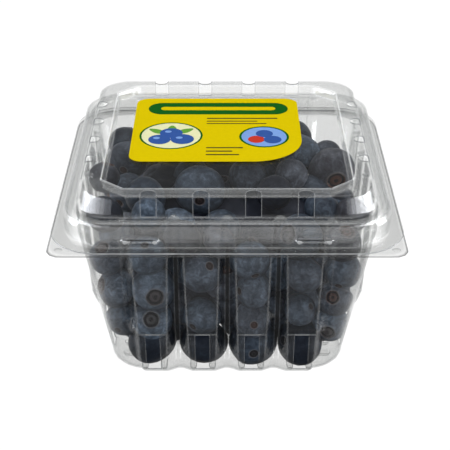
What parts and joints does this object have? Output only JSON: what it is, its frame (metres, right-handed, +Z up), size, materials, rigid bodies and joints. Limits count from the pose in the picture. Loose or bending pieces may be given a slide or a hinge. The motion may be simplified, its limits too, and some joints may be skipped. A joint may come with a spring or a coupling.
{
  "type": "punnet of blueberries",
  "caption": "Clear hinged clamshell punnet with a fluted, vented tray and a domed lid, a plain yellow label, and a heap of blueberries filling it.",
  "frame": {"origin": "on the table, under the middle of the pack's square flange; the rib feet stand at z = 0", "axes": "+Z up, +Y towards the hinge at the back, +X to the right seen from the front, where the label reads"},
  "size_m": [0.125, 0.125, 0.081],
  "materials": {
    "clear_tray": "thin clear formed PET, glossy, slightly grey at its edges",
    "clear_lid": "thin clear formed PET, glossy",
    "label_print": "satin printed film label, bright yellow with plain fields of green and blue",
    "blueberry": "dark blue-black skin under a dusty grey-blue bloom"
  },
  "bodies": {
    "tray": {"tray_front": "clear_tray", "tray_right": "clear_tray", "tray_back": "clear_tray", "tray_left": "clear_tray", "berries": "blueberry"},
    "lid": {"lid": "clear_lid", "label": "label_print"}
  },
  "joints": [
    {"name": "lid_hinge", "type": "hinge", "parent": "tray", "child": "lid", "pos_m": [0, 0.0625, 0.06335], "axis": [-1, 0, 0], "range_deg": [0, 180]}
  ]
}
